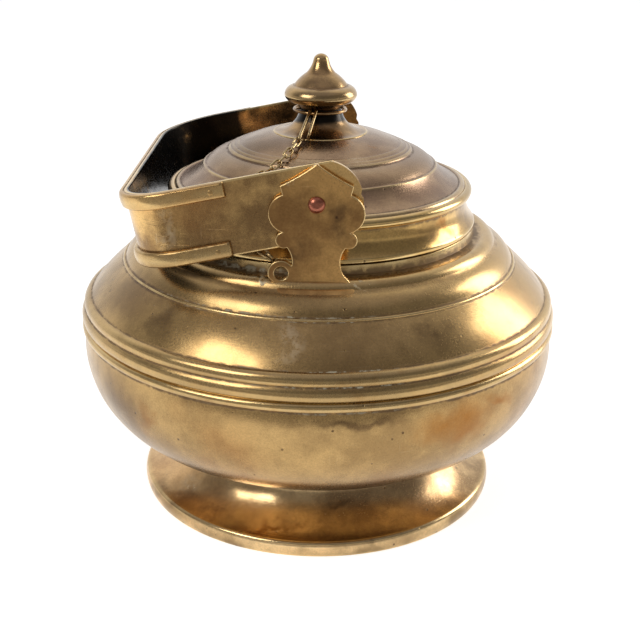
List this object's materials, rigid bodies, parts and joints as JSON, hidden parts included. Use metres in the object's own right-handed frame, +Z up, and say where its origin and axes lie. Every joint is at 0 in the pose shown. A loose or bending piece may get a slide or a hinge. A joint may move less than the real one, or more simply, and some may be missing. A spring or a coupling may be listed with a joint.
{
  "type": "antique brass lidded pot with bail handle",
  "caption": "Round antique brass kettle-like pot on a flared foot, with a domed lid on a chain, a turned knob and a swinging strap bail on riveted lugs.",
  "frame": {"origin": "pot axis where the foot stands on the table", "axes": "+Z up along the pot axis, -Y towards the front lug, -X towards the side the bail has dropped to"},
  "size_m": [0.242, 0.242, 0.2236],
  "materials": {
    "aged_brass": "aged, worn satin",
    "foot_brass": "aged, warm satin",
    "lid_brass": "tarnished satin",
    "strap_brass": "scratched, tarnished satin",
    "copper_rivet": "worn satin",
    "chain_wire": "worn satin"
  },
  "bodies": {
    "pot": {"foot_ring": "foot_brass", "bowl": "aged_brass", "shoulder": "aged_brass", "neck_collar": "aged_brass", "lug_front": "aged_brass", "lug_rear": "aged_brass", "pivot_rivet_front": "copper_rivet", "pivot_rivet_rear": "copper_rivet", "pivot_washer_front": "strap_brass", "pivot_washer_rear": "strap_brass"},
    "bail": {"bail_strap": "strap_brass", "bail_bar_upper": "strap_brass", "bail_bar_lower": "strap_brass", "bar_pins": "strap_brass"},
    "neck_ring": {"neck_wire": "chain_wire"},
    "lid": {"lid_dome": "lid_brass", "lid_rim": "lid_brass", "knob": "aged_brass", "knob_rove": "aged_brass"},
    "lid_chain": {"long_link_left": "chain_wire", "long_link_right": "chain_wire", "lid_links": "chain_wire"},
    "rim_link": {"turn_link": "chain_wire"},
    "drop_chain": {"drop_links": "chain_wire"},
    "hook": {"ear_hook": "chain_wire"}
  },
  "joints": [
    {"name": "bail_swing", "type": "hinge", "parent": "pot", "child": "bail", "pos_m": [0, 0, 0.172], "axis": [0, 1, 0], "range_deg": [0, 202.9]},
    {"name": "lid_lift", "type": "slide", "parent": "pot", "child": "neck_ring", "axis": [0, 0, 1], "range_m": [0, 0.014]},
    {"name": "lid_turn", "type": "hinge", "parent": "neck_ring", "child": "lid", "pos_m": [0, 0, 0.1969], "axis": [0, 0, 1], "continuous": true},
    {"name": "chain_swing", "type": "hinge", "parent": "neck_ring", "child": "lid_chain", "pos_m": [0, 0, 0.1969], "axis": [0, 0, 1], "range_deg": [0, 8.8]},
    {"name": "rim_turn", "type": "hinge", "parent": "lid_chain", "child": "rim_link", "pos_m": [-0.04756, -0.06296, 0.1605], "axis": [-0.6028, -0.7979, 0], "range_deg": [-28.4, 0]},
    {"name": "drop_turn", "type": "hinge", "parent": "rim_link", "child": "drop_chain", "pos_m": [-0.04385, -0.06516, 0.15851], "axis": [0.7979, -0.6028, 0], "range_deg": [-14.2, 0]},
    {"name": "hook_swing", "type": "hinge", "parent": "pot", "child": "hook", "pos_m": [-0.0154, -0.0824, 0.1406], "axis": [0, 1, 0], "range_deg": [0, 13]}
  ],
  "couplings": [
    {"joint": "chain_swing", "follows": "lid_lift", "rad_per_m": 10.901},
    {"joint": "rim_turn", "follows": "lid_lift", "rad_per_m": -35.314},
    {"joint": "drop_turn", "follows": "lid_lift", "rad_per_m": -17.578},
    {"joint": "hook_swing", "follows": "lid_lift", "rad_per_m": 16.207}
  ]
}
